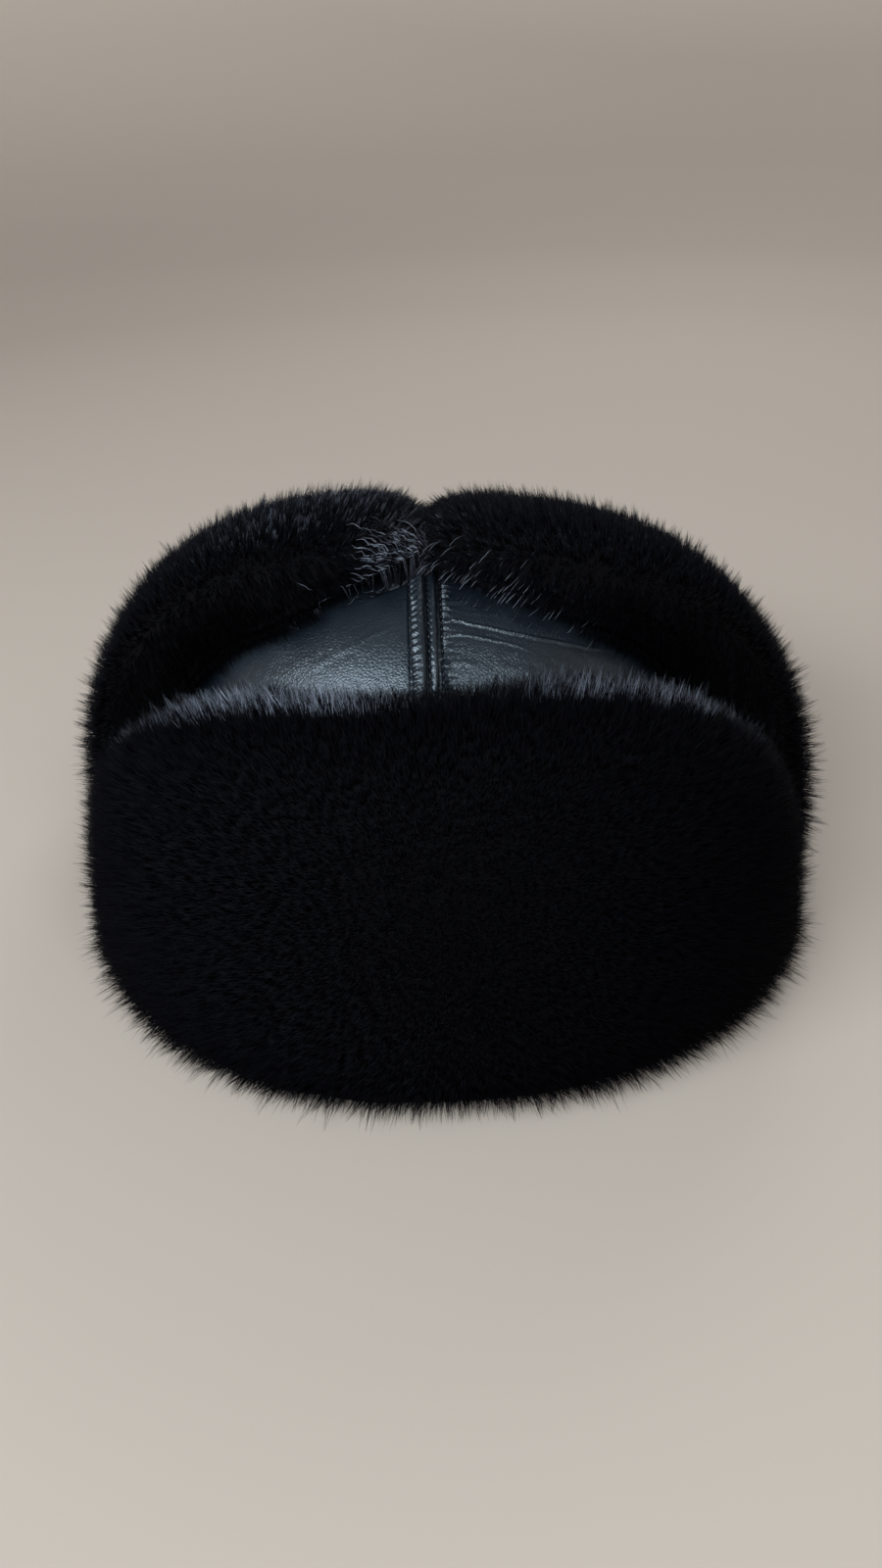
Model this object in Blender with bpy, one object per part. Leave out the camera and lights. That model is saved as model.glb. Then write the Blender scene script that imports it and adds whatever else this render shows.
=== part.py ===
"""A fur and leather ushanka with its ear flaps folded up over the crown.

Metres, +Z up. The hat faces -Y and rests on its rim in the plane Z = 0.
Every surface is worked out along rays from the middle of the rim. One length
along a ray reaches the leather crown, a longer one reaches the tips of the fur,
and each fur panel is a pad that lies between the two.
"""

import math
from collections import namedtuple

import bmesh
import bpy
from mathutils import Vector

# The middle of the rim, from which the rays start.
RIM_MIDDLE = Vector((-0.0048, 0.0069, 0.0))

# A dome: half its width, half its depth ahead of and behind the middle, its height
# over the middle, how fast the top falls to the back and to the right, and how
# square it is, seen from above, across the sides and towards the ends.
Dome = namedtuple("Dome", "left right front back height fall lean square_plan square_side square_end")
CROWN = Dome(0.101, 0.101, 0.114, 0.108, 0.1195, 0.25, 0.0, 2.0, 3.0, 3.0)
FUR = Dome(0.1254, 0.1351, 0.152, 0.139, 0.1345, 0.34, 0.045, 2.35, 2.7, 2.6)

# The crown's wall, and how it draws in to the head at the rim.
LEATHER_WALL = 0.003
HEADBAND_PINCH = 0.065
HEADBAND_REACH = 0.42

# Gaps: between pieces that touch, and under the panels where they cross the seam.
TOUCH = 0.0003
STAND_OFF = 0.0024
STAND_OFF_FROM = math.radians(20)
STAND_OFF_FULL = math.radians(42)

# The angle left free between panels that lie side by side.
SIDE_CLEARANCE = math.radians(0.35)

# A fur panel: its bare skin at the edge, the furrows between its locks, how much
# each lock rises over the next one, and how far lock ends reach past the edge.
SKIN = 0.0012
FURROW = 0.0021
LOCK_STEP = 0.0011
ROWS_PER_LOCK = 3
LOCK_END = 0.016

# A panel at the rim, where it is sewn on and pressed flat: how full it is, and how
# much of the roundness of its sides is left there.
RIM_FULLNESS = 0.9
RIM_SIDE_ROUNDNESS = 0.3
RIM_SIDE_REACH = 0.5

# The visor's outline: it fills the front up to the ear flaps. The height of its top
# edge is an angle at places across each half, from the middle to the corner.
VisorEdge = namedtuple("VisorEdge", "across left_top right_top")
VISOR_EDGE = (
    VisorEdge(0.00, 47.5, 47.5),
    VisorEdge(0.30, 47.5, 48.0),
    VisorEdge(0.55, 46.5, 47.0),
    VisorEdge(0.80, 43.0, 42.5),
    VisorEdge(1.00, 34.0, 29.0),
)

# The ear flaps' outline: how far front and back edges lean from straight across, at
# places up the side and over the top.
FlapEdge = namedtuple("FlapEdge", "lift left_front right_front back")
FLAP_EDGE = (
    FlapEdge(0.0, -21.0, -25.0, 34.0),
    FlapEdge(30.0, -24.5, -27.0, 32.0),
    FlapEdge(45.0, -26.5, -27.0, 31.0),
    FlapEdge(60.0, -26.7, -28.0, 29.0),
    FlapEdge(71.0, -29.2, -30.3, 27.5),
    FlapEdge(80.0, -27.4, -29.4, 25.5),
    FlapEdge(90.0, -23.5, -25.2, 22.0),
)

# The nape flap's outline: it fills the back up to the ear flaps, as the visor does.
NapeEdge = namedtuple("NapeEdge", "across top")
NAPE_EDGE = (
    NapeEdge(0.00, 43.0),
    NapeEdge(0.50, 41.5),
    NapeEdge(0.80, 38.5),
    NapeEdge(1.00, 34.0),
)

# The two raised folds of the middle seam: distance from the middle, width, height.
Welt = namedtuple("Welt", "name offset width height")
WELTS = (
    Welt("seam_welt_left", -0.0023, 0.0034, 0.0017),
    Welt("seam_welt_right", 0.00155, 0.0019, 0.0012),
)
WELT_FRONT_LIFT = math.radians(44)
WELT_BACK_LIFT = math.radians(136)

# Faces: round the dome and up it, and the steps of a panel and of its round edge.
DOME_TURNS = 48
DOME_RINGS = 20
ROUND_STEPS = 3

# One line of a panel's grid: its place from 0 to 1 and how full the panel is there.
Line = namedtuple("Line", "place fullness")


def clear_scene():
    """Removes what the file opens with."""
    for obj in list(bpy.data.objects):
        bpy.data.objects.remove(obj)


def make_material(name, color, roughness):
    """A plain Principled material."""
    material = bpy.data.materials.new(name)
    material.use_nodes = True
    shader = material.node_tree.nodes["Principled BSDF"]
    shader.inputs["Base Color"].default_value = (*color, 1.0)
    shader.inputs["Roughness"].default_value = roughness
    shader.inputs["Metallic"].default_value = 0.0
    return material


def round_ray(turn, lift):
    """A ray that leaves the front by an angle towards +X and rises by an angle."""
    level = math.cos(lift)
    return Vector((level * math.sin(turn), -level * math.cos(turn), math.sin(lift)))


def side_ray(side, lift, lean):
    """A ray that rises from one side over the top, and leans to the front or back."""
    level = math.cos(lean)
    across = side * level * math.cos(lift)
    return Vector((across, math.sin(lean), level * math.sin(lift)))


def ray_length(ray, dome):
    """How long a ray is from the middle of the rim to a dome."""
    half_width = dome.right if ray.x > 0 else dome.left
    half_depth = dome.back if ray.y > 0 else dome.front
    spread = abs(ray.x / half_width) ** dome.square_plan + abs(ray.y / half_depth) ** dome.square_plan
    plan = spread ** (1 / dome.square_plan)
    endwise = ray.y**2 / max(ray.x**2 + ray.y**2, 1e-12)
    square = dome.square_side + (dome.square_end - dome.square_side) * endwise
    length = half_depth
    for _ in range(12):
        slope = dome.fall * ray.y / half_depth + dome.lean * ray.x / half_width
        height = dome.height * (1 - slope * length)
        length = (plan**square + (ray.z / height) ** square) ** (-1 / square)
    return length


def crown_length(ray):
    """How long a ray is to the outside of the leather."""
    rise = min(ray.z / HEADBAND_REACH, 1.0)
    return ray_length(ray, CROWN) * (1 - HEADBAND_PINCH * (1 - rise) ** 2)


def fur_length(ray):
    """How long a ray is to the tips of the fur."""
    return ray_length(ray, FUR)


def eased(value, start, end):
    """0 before start, 1 after end, and smooth between."""
    share = min(max((value - start) / (end - start), 0.0), 1.0)
    return share * share * (3 - 2 * share)


def panel_gap(ray):
    """The gap between the leather and a fur panel's back."""
    return TOUCH + STAND_OFF * eased(math.asin(ray.z), STAND_OFF_FROM, STAND_OFF_FULL)


def through(rows, column, place):
    """A smooth curve through one column of a table whose first column is the place."""
    places = [row[0] for row in rows]
    values = [getattr(row, column) for row in rows]
    last = len(rows) - 1
    at = next(i for i in range(last) if place <= places[i + 1] or i == last - 1)

    def slope(i):
        before, after = max(i - 1, 0), min(i + 1, last)
        return (values[after] - values[before]) / (places[after] - places[before])

    step = places[at + 1] - places[at]
    t = (place - places[at]) / step
    return (
        values[at] * (1 + 2 * t) * (1 - t) ** 2
        + values[at + 1] * t * t * (3 - 2 * t)
        + slope(at) * step * t * (1 - t) ** 2
        - slope(at + 1) * step * t * t * (1 - t)
    )


def flap_edge_turn(column, lift_wanted):
    """How far round from straight ahead (or behind) an ear flap's edge is, at a height."""
    low, high = 0.0, math.pi / 2
    for _ in range(40):
        lift = (low + high) / 2
        ray = side_ray(1, lift, math.radians(through(FLAP_EDGE, column, math.degrees(lift))))
        if math.asin(ray.z) < lift_wanted:
            low = lift
        else:
            high = lift
    return math.atan2(ray.x, abs(ray.y))


def lines(start_round, start_fullness, end_round, end_fullness, middle_steps, round_steps=ROUND_STEPS):
    """The lines of a panel's grid one way, closer together where its edges are round."""
    quarter = [i * math.pi / 2 / round_steps for i in range(round_steps + 1)]
    start = [
        Line(start_round * (1 - math.cos(a)), start_fullness + (1 - start_fullness) * math.sin(a))
        for a in quarter
    ]
    span = 1 - start_round - end_round
    middle = [Line(start_round + span * i / middle_steps, 1.0) for i in range(1, middle_steps)]
    end = [
        Line(1 - end_round * (1 - math.cos(a)), end_fullness + (1 - end_fullness) * math.sin(a))
        for a in reversed(quarter)
    ]
    return start + middle + end


def build_sheet(name, columns, rows, place_inside, place_outside, material):
    """A closed solid: a grid and its copy, each moved to its place, with sides between."""
    mesh = bpy.data.meshes.new(name)
    shape = bmesh.new()
    bmesh.ops.create_grid(shape, x_segments=columns, y_segments=rows, size=0.5)
    inside = list(shape.verts)
    copied = bmesh.ops.extrude_face_region(shape, geom=shape.faces[:])["geom"]
    outside = [item for item in copied if isinstance(item, bmesh.types.BMVert)]
    for verts, place in ((inside, place_inside), (outside, place_outside)):
        for vert in verts:
            column = round((vert.co.x + 0.5) * columns)
            row = round((vert.co.y + 0.5) * rows)
            vert.co = place(column, row)
    return add_part(name, mesh, shape, material)


def add_part(name, mesh, shape, material):
    """Turns a closed shape's faces outwards and puts it in the hat's collection, shaded smooth."""
    bmesh.ops.recalc_face_normals(shape, faces=shape.faces[:])
    if shape.calc_volume(signed=True) < 0:
        bmesh.ops.reverse_faces(shape, faces=shape.faces[:])
    shape.to_mesh(mesh)
    shape.free()
    mesh.materials.append(material)
    mesh.shade_smooth()
    mesh.set_sharp_from_angle(angle=math.radians(60))
    part = bpy.data.objects.new(name, mesh)
    hat.objects.link(part)
    return part


def lock_depth(column, row, last_row):
    """How far the fur lies below its tips: furrows between locks, and a step at each tip."""
    if row in (0, last_row):
        return 0.0
    shift = 0 if column % 4 < 2 else 1
    step = (row + shift) % ROWS_PER_LOCK
    return FURROW * (column % 2) + LOCK_STEP * (ROWS_PER_LOCK - 1 - step)


def fur_panel(name, columns, rows, aim, material):
    """A pad of fur on the crown. aim gives the ray for a place across it and up it."""
    last_row = len(rows) - 1

    def ray_at(column, row):
        overhang = LOCK_END if row == last_row and column % 2 == 0 else 0.0
        return aim(columns[column].place, rows[row].place + overhang)

    def back(column, row):
        ray = ray_at(column, row)
        return RIM_MIDDLE + ray * (crown_length(ray) + panel_gap(ray))

    def front(column, row):
        ray = ray_at(column, row)
        start = crown_length(ray) + panel_gap(ray) + SKIN
        roundness = eased(rows[row].place, -RIM_SIDE_REACH, RIM_SIDE_REACH)
        roundness = max(2 * roundness - 1, RIM_SIDE_ROUNDNESS)
        side_fullness = 1 - (1 - columns[column].fullness) * roundness
        fullness = side_fullness * rows[row].fullness
        pile = fur_length(ray) - start - lock_depth(column, row, last_row)
        return RIM_MIDDLE + ray * (start + fullness * max(pile, 0.0))

    return build_sheet(name, len(columns) - 1, last_row, back, front, material)


def make_crown_panel(name, side, material):
    """One half of the leather crown: a quarter of a sphere, shaped and given its wall."""
    mesh = bpy.data.meshes.new(name)
    shape = bmesh.new()
    bmesh.ops.create_uvsphere(shape, u_segments=DOME_TURNS, v_segments=DOME_RINGS, radius=1.0)
    unwanted = [
        face
        for face in shape.faces
        if face.calc_center_median().z < 0 or face.calc_center_median().x * side < 0
    ]
    bmesh.ops.delete(shape, geom=unwanted, context="FACES")
    outside = list(shape.verts)
    copied = bmesh.ops.extrude_face_region(shape, geom=shape.faces[:])["geom"]
    inside = [item for item in copied if isinstance(item, bmesh.types.BMVert)]
    off_seam = Vector((side * TOUCH / 2, 0.0, 0.0))
    for verts, wall in ((outside, 0.0), (inside, LEATHER_WALL)):
        for vert in verts:
            ray = vert.co.normalized()
            ray.z = max(ray.z, 0.0)
            vert.co = RIM_MIDDLE + off_seam + ray * (crown_length(ray) - wall)
    return add_part(name, mesh, shape, material)


def make_welt(welt, material):
    """A raised fold of leather, half round, that follows the crown from front to back."""
    columns = lines(0.5, 0.0, 0.5, 0.0, 1, round_steps=2)
    rows = 26

    def ray_at(column, row):
        turn = WELT_FRONT_LIFT + (WELT_BACK_LIFT - WELT_FRONT_LIFT) * row / rows
        along = Vector((0.0, -math.cos(turn), math.sin(turn)))
        across = welt.offset + welt.width * (columns[column].place - 0.5)
        return (along + Vector((across / crown_length(along), 0.0, 0.0))).normalized()

    def under(column, row):
        ray = ray_at(column, row)
        return RIM_MIDDLE + ray * (crown_length(ray) + TOUCH)

    def over(column, row):
        ray = ray_at(column, row)
        rise = 0.25 + 0.75 * columns[column].fullness
        return RIM_MIDDLE + ray * (crown_length(ray) + TOUCH + welt.height * rise)

    return build_sheet(welt.name, len(columns) - 1, rows, under, over, material)


def make_visor(material):
    """The front panel, turned up from the rim: wide, with a level top and soft corners."""
    columns = lines(0.055, 0.1, 0.055, 0.1, 32)
    rows = lines(0.10, RIM_FULLNESS, 0.15, 0.1, 8)

    def aim(across, up):
        sideways = 2 * across - 1
        side = "right" if sideways > 0 else "left"
        lift = math.radians(through(VISOR_EDGE, side + "_top", abs(sideways))) * up
        turn = flap_edge_turn(side + "_front", lift) - SIDE_CLEARANCE
        return round_ray(sideways * turn, lift)

    return fur_panel("visor", columns, rows, aim, material)


def make_ear_flap(name, side, material):
    """An ear flap, folded up from the rim over the side until its end meets the other."""
    columns = lines(0.12, 0.1, 0.12, 0.1, 12)
    rows = lines(0.06, RIM_FULLNESS, 0.075, 0.3, 16)
    half_gap = math.asin(TOUCH / 2 / CROWN.height)
    full_lift = math.pi / 2 - half_gap
    front_column = "right_front" if side > 0 else "left_front"

    def aim(across, up):
        lift = full_lift * min(up, 1.0)
        front = through(FLAP_EDGE, front_column, math.degrees(lift))
        back = through(FLAP_EDGE, "back", math.degrees(lift))
        return side_ray(side, lift, math.radians(front + (back - front) * across))

    return fur_panel(name, columns, rows, aim, material)


def make_nape_flap(material):
    """The back panel, turned up from the rim like the visor, lower and between the flaps."""
    columns = lines(0.07, 0.1, 0.07, 0.1, 22)
    rows = lines(0.12, RIM_FULLNESS, 0.17, 0.1, 8)

    def aim(across, up):
        sideways = 2 * across - 1
        lift = math.radians(through(NAPE_EDGE, "top", abs(sideways))) * up
        turn = flap_edge_turn("back", lift) - SIDE_CLEARANCE
        return round_ray(math.pi - sideways * turn, lift)

    return fur_panel("nape_flap", columns, rows, aim, material)


clear_scene()
hat = bpy.data.collections.new("ushanka")
bpy.context.scene.collection.children.link(hat)

leather = make_material("black leather", (0.017, 0.019, 0.024), 0.38)
fur = make_material("black mink", (0.004, 0.004, 0.006), 0.75)

make_crown_panel("crown_panel_left", -1, leather)
make_crown_panel("crown_panel_right", 1, leather)
for welt in WELTS:
    make_welt(welt, leather)
make_visor(fur)
make_ear_flap("ear_flap_left", -1, fur)
make_ear_flap("ear_flap_right", 1, fur)
make_nape_flap(fur)
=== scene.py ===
import math

import bpy
import numpy as np
from mathutils import Matrix, Vector, noise
from mathutils.bvhtree import BVHTree
from mathutils.kdtree import KDTree


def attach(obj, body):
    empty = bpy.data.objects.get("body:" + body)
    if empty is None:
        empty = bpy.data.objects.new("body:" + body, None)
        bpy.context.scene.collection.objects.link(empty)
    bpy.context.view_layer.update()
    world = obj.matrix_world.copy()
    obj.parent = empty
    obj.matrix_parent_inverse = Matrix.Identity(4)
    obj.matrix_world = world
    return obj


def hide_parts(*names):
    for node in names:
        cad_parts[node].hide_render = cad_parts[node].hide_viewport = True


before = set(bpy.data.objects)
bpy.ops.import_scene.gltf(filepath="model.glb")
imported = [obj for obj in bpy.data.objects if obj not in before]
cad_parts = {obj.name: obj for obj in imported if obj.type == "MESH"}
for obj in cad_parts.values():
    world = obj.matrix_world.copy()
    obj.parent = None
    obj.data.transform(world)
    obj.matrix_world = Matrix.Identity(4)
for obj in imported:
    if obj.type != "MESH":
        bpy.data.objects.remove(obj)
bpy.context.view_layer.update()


# The camera stands in front of the hat, about a hand's height above it, and looks down
# over the visor at the leather crown. It leans two degrees, as one held in the hand does.
CAMERA_PLACE = (-0.0026, -0.3716, 0.2632)
CAMERA_TILT, CAMERA_LEAN = math.radians(57), math.radians(-2)

camera = bpy.data.cameras.new("camera")
camera.sensor_width = 36.0
camera.lens = 27.0
camera.clip_start = 0.01
camera_stand = bpy.data.objects.new("camera", camera)
camera_stand.location = CAMERA_PLACE
camera_stand.rotation_euler = (
    Matrix.Rotation(CAMERA_TILT, 3, "X") @ Matrix.Rotation(CAMERA_LEAN, 3, "Z")
).to_euler()
bpy.context.scene.collection.objects.link(camera_stand)
bpy.context.scene.camera = camera_stand
bpy.context.scene.view_settings.view_transform = "Standard"


# The stage: one pale sheet that runs out flat under the hat and sweeps up all round it, so
# that every side of the hat is seen against the same plain warm grey. Each step of the
# sweep widens it and then raises its edge. It glows a little more the higher it is.
WARM_GREY = (0.36, 0.32, 0.283, 1.0)
SWEEP = ((1.25, 0.02), (1.18, 0.08), (1.12, 0.16), (1.06, 0.26), (1.02, 0.5), (1.0, 0.9))
GLOW_FROM, GLOW_TO = 0.05, 0.5

bpy.ops.object.select_all(action="DESELECT")
bpy.ops.mesh.primitive_circle_add(vertices=96, radius=1.0, fill_type="NGON", location=(0, 0, 0))
floor = bpy.context.active_object
floor.name = floor.data.name = "floor"
bpy.ops.object.mode_set(mode="EDIT")
for widening, rise in SWEEP:
    bpy.ops.mesh.select_all(action="DESELECT")
    bpy.ops.mesh.select_mode(type="EDGE")
    bpy.ops.mesh.select_non_manifold()
    bpy.ops.mesh.extrude_edges_move()
    bpy.ops.transform.resize(value=(widening, widening, 1.0), center_override=(0, 0, 0))
    bpy.ops.transform.translate(value=(0, 0, rise))
bpy.ops.mesh.select_all(action="SELECT")
bpy.ops.mesh.normals_make_consistent(inside=True)
bpy.ops.object.mode_set(mode="OBJECT")
bpy.ops.object.shade_smooth()
paper = bpy.data.materials.new("pale paper")
paper.use_nodes = True
shader = paper.node_tree.nodes["Principled BSDF"]
shader.inputs["Base Color"].default_value = WARM_GREY
shader.inputs["Roughness"].default_value = 0.9
shader.inputs["Specular IOR Level"].default_value = 0.1
shader.inputs["Emission Strength"].default_value = 0.65
place = paper.node_tree.nodes.new("ShaderNodeTexCoord")
height = paper.node_tree.nodes.new("ShaderNodeSeparateXYZ")
glow = paper.node_tree.nodes.new("ShaderNodeMapRange")
glow.inputs["From Min"].default_value = GLOW_FROM
glow.inputs["From Max"].default_value = GLOW_TO
tone = paper.node_tree.nodes.new("ShaderNodeValToRGB")
tone.color_ramp.elements[0].color = (0.0, 0.0, 0.0, 1.0)
tone.color_ramp.elements[1].color = WARM_GREY
paper.node_tree.links.new(place.outputs["Object"], height.inputs[0])
paper.node_tree.links.new(height.outputs["Z"], glow.inputs["Value"])
paper.node_tree.links.new(glow.outputs["Result"], tone.inputs["Fac"])
paper.node_tree.links.new(tone.outputs["Color"], shader.inputs["Emission Color"])
paper.cycles.emission_sampling = "NONE"
floor.data.materials.append(paper)


# The light: one wide soft panel, high in front on the left, whose reflection lies on the
# leather above the visor, a small one in front on the right, a weak one overhead, and one
# behind that parts the hair tips from the backdrop.
COOL_WHITE = (0.9, 0.96, 1.0)
PALE_WHITE = (0.95, 0.98, 1.0)


def soft_light(name, place, aim, size, watts, color):
    """A panel of light, turned to a point; its size is its width and its height."""
    panel = bpy.data.lights.new(name, "AREA")
    panel.shape = "RECTANGLE"
    panel.size, panel.size_y = size
    panel.energy = watts
    panel.color = color
    stand = bpy.data.objects.new(name, panel)
    stand.location = place
    stand.rotation_euler = (Vector(aim) - Vector(place)).to_track_quat("-Z", "Y").to_euler()
    bpy.context.scene.collection.objects.link(stand)


for name, place, aim, size, watts, color in (
    ("light in front", (-0.58, -0.92, 0.87), (0, 0, 0.08), (1.6, 0.5), 32.0, COOL_WHITE),
    ("light on the right", (0.46, -1.02, 1.14), (0, 0, 0.08), (0.5, 0.5), 6.6, COOL_WHITE),
    ("light overhead", (0.0, -0.05, 1.5), (0, 0, 0.1), (0.7, 0.7), 0.7, COOL_WHITE),
    ("light behind", (0.35, 1.0, 0.9), (0, 0, 0.1), (0.6, 0.6), 6.0, PALE_WHITE),
):
    soft_light(name, place, aim, size, watts, color)
world = bpy.data.worlds.new("world")
world.use_nodes = True
world.node_tree.nodes["Background"].inputs["Color"].default_value = (0.95, 0.97, 1.0, 1.0)
world.node_tree.nodes["Background"].inputs["Strength"].default_value = 0.15
bpy.context.scene.world = world


# The crown: two panels of thin soft black leather that meet in a seam over the middle.
# They are stretched smooth, with a few fine creases that run off the seam's puckers.
SEAM = -0.0048
RIM_MIDDLE = Vector((SEAM, 0.0069, 0.0))
BEYOND_THE_HAT = 0.3
STITCH_PITCH = 0.0023

# The leather shows ahead of the flaps and behind them: how far back and how high each
# window starts, and how wide both are on either side of the seam.
WINDOW_AHEAD = (-0.035, 0.082)
WINDOW_BEHIND = (0.055, 0.055)
WINDOW_HALF_WIDTH = 0.085

# The right panel's edge, in metres across from the seam: where a groove, the heads of the
# puckers and their tails begin, are full, begin to fade and end. The tails end unevenly,
# and the puckers are spaced a little unevenly too. Then come the left panel's crevice,
# with how near to its middle it starts to rise and ends, and how far each panel's gathered
# edge reaches.
GROOVE, GROOVE_DEPTH = (0.0024, 0.0029, 0.0036, 0.0043), 0.0012
HEADS, HEAD_HEIGHT = (0.0035, 0.0041, 0.0042, 0.0068), 0.0006
TAILS, TAIL_END, TAIL_UNEVEN = (0.0038, 0.0044, 0.0048), 0.0108, 0.0045
TAIL_HEIGHT, TAIL_WIDTH, TAIL_DRIFT = 0.0004, 0.00034, 0.0037
PUCKER_STRAY = 0.0003
CREVICE, CREVICE_DEPTH, CREVICE_SIDES = -0.0050, 0.0005, (0.0002, 0.0009)
RIGHT_EDGE, LEFT_EDGE = 0.0105, -0.0062

# The leather's slow waves: how high they are, and how many turns they make in a metre.
WAVE_HEIGHT, WAVE_TURNS = 0.0001, 110.0

# Creases, in millimetres: points across from the seam and along y, then how high the
# crease stands and how wide it is.
CREASES = {
    "crown_panel_right": (
        (
            (
                (4.3, -69.4), (8.5, -69.2), (12.0, -70.0), (22.4, -70.5),
                (30.3, -69.7), (38.0, -67.9), (46.0, -65.2), (64.0, -54.9),
            ),
            0.36,
            0.34,
        ),
        (
            (
                (4.6, -73.3), (11.2, -73.2), (15.9, -73.5),
                (20.9, -73.5), (26.6, -73.4), (33.0, -73.8),
            ),
            0.21,
            0.32,
        ),
        (((4.9, -65.4), (13.0, -66.4), (17.2, -66.0), (24.0, -65.0)), 0.18, 0.4),
        (((5.0, -79.9), (10.6, -80.0), (16.0, -80.6)), 0.14, 0.6),
        (((5.0, -62.6), (10.0, -62.4), (15.0, -61.5)), 0.14, 0.6),
        (((20.0, -79.5), (31.0, -78.2), (37.0, -79.0)), 0.12, 0.9),
        (((36.0, -73.0), (45.0, -72.5), (52.0, -69.5)), 0.10, 1.1),
    ),
    "crown_panel_left": (
        (((-18.5, -72.2), (-15.5, -71.6), (-8.3, -70.0), (-5.0, -69.6)), 0.15, 0.45),
        (((-32.0, -74.1), (-26.0, -73.5), (-19.7, -72.9), (-14.0, -72.0)), 0.07, 0.9),
        (((-54.0, -66.0), (-44.0, -70.0), (-34.0, -73.0), (-26.0, -75.0)), 0.07, 1.6),
    ),
}

# A crease is a ridge with a valley beside it, whose depth and distance are shares of the
# ridge's height and width. The crease rises and fades out at these shares of its length.
VALLEY_DEPTH, VALLEY_OFFSET = 0.3, 1.8
CREASE_FADE = (-0.05, 0.04, 0.55, 0.98)

# The mesh is divided further this near to a crease, in millimetres and more for a wide one,
# and once more along the high creases until they have faded.
NEAR_CREASE, NEAR_PER_WIDTH = 1.5, 1.5
HIGH_CREASE, NEAR_HIGH_CREASE, HIGH_CREASE_END = 0.2, 0.7, 0.85


def only(piece):
    """Leaves one object selected and active."""
    bpy.ops.object.select_all(action="DESELECT")
    piece.select_set(True)
    bpy.context.view_layer.objects.active = piece


def merged_copy(node, name):
    """A piece that starts as a CAD node's mesh, with its loose triangles joined into quads."""
    piece = bpy.data.objects.new(name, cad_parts[node].data.copy())
    piece.data.name = name
    piece.data.materials.clear()
    bpy.context.scene.collection.objects.link(piece)
    only(piece)
    bpy.ops.mesh.customdata_custom_splitnormals_clear()
    bpy.ops.object.mode_set(mode="EDIT")
    bpy.ops.mesh.select_all(action="SELECT")
    bpy.ops.mesh.remove_doubles(threshold=0.00003)
    bpy.ops.mesh.tris_convert_to_quads(
        face_threshold=math.radians(60), shape_threshold=math.radians(60)
    )
    bpy.ops.object.mode_set(mode="OBJECT")
    return piece


def corners(mesh):
    """A mesh's vertex places, one row each."""
    places = np.empty(len(mesh.vertices) * 3, np.float32)
    mesh.vertices.foreach_get("co", places)
    return places.reshape(-1, 3).astype(float)


def corner_normals(mesh):
    """A mesh's vertex normals, one row each."""
    normals = np.empty(len(mesh.vertices) * 3, np.float32)
    mesh.vertex_normals.foreach_get("vector", normals)
    return normals.reshape(-1, 3).astype(float)


def put_corners(mesh, places):
    """Moves a mesh's vertices."""
    mesh.vertices.foreach_set("co", places.astype(np.float32).ravel())
    mesh.update()


def select_nothing(kind):
    """Clears the selection of the active mesh, and leaves it in object mode."""
    bpy.ops.object.mode_set(mode="EDIT")
    bpy.ops.mesh.select_mode(type=kind)
    bpy.ops.mesh.select_all(action="DESELECT")
    bpy.ops.object.mode_set(mode="OBJECT")


def divide_faces(piece, wanted, cuts):
    """Subdivides the faces whose middles and normals pass a test."""
    only(piece)
    mesh = piece.data
    middles = np.array([face.center for face in mesh.polygons])
    normals = np.array([face.normal for face in mesh.polygons])
    chosen = wanted(middles, normals)
    select_nothing("FACE")
    mesh.polygons.foreach_set("select", chosen)
    bpy.ops.object.mode_set(mode="EDIT")
    bpy.ops.mesh.subdivide(number_cuts=cuts, smoothness=1.0)
    bpy.ops.object.mode_set(mode="OBJECT")


def ramp(values, start, end):
    """0 before start, 1 after end, smooth between."""
    share = np.clip((values - start) / (end - start), 0.0, 1.0)
    return share * share * (3 - 2 * share)


def band(values, start, full, fading, end):
    """1 between full and fading, and 0 before start and after end."""
    return ramp(values, start, full) * (1 - ramp(values, fading, end))


def facing_out(places, normals):
    """How far a surface faces out of the hat: 1 straight out, 0 sideways, -1 inwards."""
    rays = places - np.array(RIM_MIDDLE)
    rays /= np.linalg.norm(rays, axis=1, keepdims=True)
    return (normals * rays).sum(1)


def shows(places, normals):
    """True on the outside of the crown where it shows between the flaps."""
    ahead = (places[:, 1] < WINDOW_AHEAD[0]) & (places[:, 2] > WINDOW_AHEAD[1])
    behind = (places[:, 1] > WINDOW_BEHIND[0]) & (places[:, 2] > WINDOW_BEHIND[1])
    near_seam = np.abs(places[:, 0] - SEAM) < WINDOW_HALF_WIDTH
    return (facing_out(places, normals) > 0.5) & (ahead | behind) & near_seam


def plan(places):
    """Places seen from above, in millimetres across from the seam and back."""
    return np.stack([(places[:, 0] - SEAM) * 1000, places[:, 1] * 1000], axis=1)


def from_line(points, line):
    """How far points are from a line of points, and how far along it, from 0 to 1."""
    nearest = np.full(len(points), np.inf)
    along = np.zeros(len(points))
    lengths = [math.dist(a, b) for a, b in zip(line, line[1:])]
    total, done = sum(lengths), 0.0
    for (a, b), length in zip(zip(line, line[1:]), lengths):
        start, step = np.array(a), np.array(b) - np.array(a)
        share = np.clip(((points - start) @ step) / (step @ step), 0.0, 1.0)
        gap = np.linalg.norm(points - start - share[:, None] * step, axis=1)
        closer = gap < nearest
        nearest[closer] = gap[closer]
        along[closer] = (done + share[closer] * length) / total
        done += length
    return nearest, along


def has_detail(middles, normals, creases, side):
    """True on the faces near a crease or beside the seam."""
    near = np.zeros(len(middles), bool)
    for line, _, width in creases:
        near |= from_line(plan(middles), line)[0] < NEAR_CREASE + NEAR_PER_WIDTH * width
    near &= middles[:, 1] < 0
    across = middles[:, 0] - SEAM
    near |= (across < RIGHT_EDGE) if side > 0 else (across > LEFT_EDGE)
    return near & shows(middles, normals)


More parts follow.
